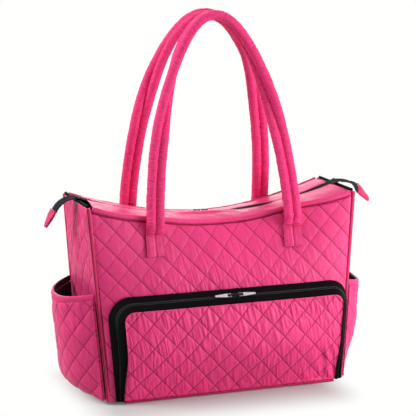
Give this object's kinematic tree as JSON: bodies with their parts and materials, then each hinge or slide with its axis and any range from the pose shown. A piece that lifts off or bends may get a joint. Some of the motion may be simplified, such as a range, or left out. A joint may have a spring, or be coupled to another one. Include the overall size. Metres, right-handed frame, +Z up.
{
  "type": "diaper bag",
  "caption": "Soft quilted zip-top tote bag with open end pockets, a zipped front pocket that folds down, padded twin-tube handles and zip tails.",
  "frame": {"origin": "middle of the base on the floor", "axes": "+Z up, -Y to the front pocket side, +X to the right as seen from the front"},
  "size_m": [0.5124, 0.1944, 0.553],
  "materials": {
    "quilted_cloth": "quilted nylon, slight sheen",
    "plain_cloth": "plain nylon, slight sheen",
    "lining": "black lining cloth",
    "zip_tape": "black woven zip tape",
    "zip_coil": "black nylon coil",
    "slider": "black painted metal",
    "pull": "bright metal",
    "dark_pull": "black painted metal",
    "board": "stiff board",
    "filler_cord": "soft filler cord",
    "elastic": "covered elastic"
  },
  "bodies": {
    "shell": {"front_panel": "quilted_cloth", "back_panel": "quilted_cloth", "left_gusset": "quilted_cloth", "right_gusset": "quilted_cloth", "base_panel": "quilted_cloth", "base_board": "board", "lining": "lining", "front_left_piping": "plain_cloth", "front_right_piping": "plain_cloth", "back_left_piping": "plain_cloth", "back_right_piping": "plain_cloth", "front_top_binding": "plain_cloth", "back_top_binding": "plain_cloth", "left_gusset_binding": "zip_tape", "right_gusset_binding": "zip_tape", "left_end_pocket": "quilted_cloth", "right_end_pocket": "quilted_cloth", "left_pocket_lining": "lining", "right_pocket_lining": "lining", "left_pocket_hem": "plain_cloth", "right_pocket_hem": "plain_cloth", "left_pocket_elastic": "elastic", "right_pocket_elastic": "elastic", "pocket_zip_outer_tape": "zip_tape", "pocket_zip_outer_coil": "zip_coil", "pocket_bottom_binding": "plain_cloth", "front_closure_strip": "plain_cloth", "back_closure_strip": "plain_cloth", "top_zip_front_tape": "zip_tape", "top_zip_back_tape": "zip_tape", "top_zip_front_coil": "zip_coil", "top_zip_back_coil": "zip_coil", "front_left_handle_tab": "plain_cloth", "front_right_handle_tab": "plain_cloth", "back_left_handle_tab": "plain_cloth", "back_right_handle_tab": "plain_cloth"},
    "front_handle": {"front_handle_cover": "plain_cloth", "front_handle_cords": "filler_cord"},
    "back_handle": {"back_handle_cover": "plain_cloth", "back_handle_cords": "filler_cord"},
    "pocket_front": {"pocket_flap": "quilted_cloth", "pocket_flap_lining": "lining", "pocket_zip_inner_tape": "zip_tape", "pocket_zip_inner_coil": "zip_coil"},
    "pocket_slider_l": {"pocket_slider_left": "slider"},
    "pocket_slider_r": {"pocket_slider_right": "slider"},
    "pocket_pull_l": {"pocket_pull_left": "pull"},
    "pocket_pull_r": {"pocket_pull_right": "pull"},
    "top_slider_l": {"top_slider_left": "slider"},
    "top_slider_r": {"top_slider_right": "slider"},
    "top_pull_l": {"top_pull_left": "dark_pull"},
    "top_pull_r": {"top_pull_right": "dark_pull"},
    "left_tail": {"left_zip_tail": "zip_tape", "left_tail_tab": "plain_cloth"},
    "right_tail": {"right_zip_tail": "zip_tape", "right_tail_tab": "plain_cloth"}
  },
  "joints": [
    {"name": "front_handle_swing", "type": "hinge", "parent": "shell", "child": "front_handle", "pos_m": [0, -0.06874, 0.241], "axis": [1, 0, 0], "range_deg": [0, 108]},
    {"name": "back_handle_swing", "type": "hinge", "parent": "shell", "child": "back_handle", "pos_m": [0, 0.06874, 0.241], "axis": [1, 0, 0], "range_deg": [-108, 0]},
    {"name": "pocket_open", "type": "hinge", "parent": "shell", "child": "pocket_front", "pos_m": [0, -0.0807, 0.0024], "axis": [1, 0, 0], "range_deg": [0, 72], "deforming": ["pocket_zip_inner_tape", "pocket_zip_inner_coil", "pocket_zip_outer_tape", "pocket_zip_outer_coil"]},
    {"name": "pocket_slider_l_run", "type": "slide", "parent": "shell", "child": "pocket_slider_l", "axis": [-1, 0, 0], "range_m": [0, 0.1348]},
    {"name": "pocket_slider_r_run", "type": "slide", "parent": "shell", "child": "pocket_slider_r", "axis": [1, 0, 0], "range_m": [0, 0.1348]},
    {"name": "pocket_pull_l_flip", "type": "hinge", "parent": "pocket_slider_l", "child": "pocket_pull_l", "pos_m": [-0.0016, -0.09513, 0.14989], "axis": [0, 0.7962, 0.605], "range_deg": [0, 100]},
    {"name": "pocket_pull_r_flip", "type": "hinge", "parent": "pocket_slider_r", "child": "pocket_pull_r", "pos_m": [0.0116, -0.09513, 0.14989], "axis": [0, -0.7962, -0.605], "range_deg": [0, 100]},
    {"name": "top_slider_l_run", "type": "hinge", "parent": "shell", "child": "top_slider_l", "pos_m": [0, 0, 0.84968], "axis": [0, 1, 0], "range_deg": [0, 15.02], "deforming": ["front_closure_strip", "back_closure_strip", "top_zip_front_tape", "top_zip_back_tape", "top_zip_front_coil", "top_zip_back_coil"]},
    {"name": "top_slider_r_run", "type": "hinge", "parent": "shell", "child": "top_slider_r", "pos_m": [0, 0, 0.84968], "axis": [0, -1, 0], "range_deg": [0, 15.04]},
    {"name": "top_pull_l_flip", "type": "hinge", "parent": "top_slider_l", "child": "top_pull_l", "pos_m": [-0.0204, 0, 0.25785], "axis": [0, 1, 0], "range_deg": [0, 100]},
    {"name": "top_pull_r_flip", "type": "hinge", "parent": "top_slider_r", "child": "top_pull_r", "pos_m": [-0.00746, 0, 0.25755], "axis": [0, -1, 0], "range_deg": [0, 100]},
    {"name": "left_tail_bend", "type": "hinge", "parent": "shell", "child": "left_tail", "pos_m": [-0.207, 0, 0.29166], "axis": [0, 1, 0], "range_deg": [-20, 80], "stiffness_Nm_per_rad": 0.012},
    {"name": "right_tail_bend", "type": "hinge", "parent": "shell", "child": "right_tail", "pos_m": [0.207, 0, 0.29166], "axis": [0, -1, 0], "range_deg": [-30, 70], "stiffness_Nm_per_rad": 0.012}
  ],
  "couplings": [
    {"joint": "pocket_slider_l_run", "follows": "pocket_open", "m_per_rad": 0.1069},
    {"joint": "pocket_slider_r_run", "follows": "pocket_open", "m_per_rad": 0.1069},
    {"joint": "top_slider_r_run", "follows": "top_slider_l_run", "ratio": 1}
  ]
}
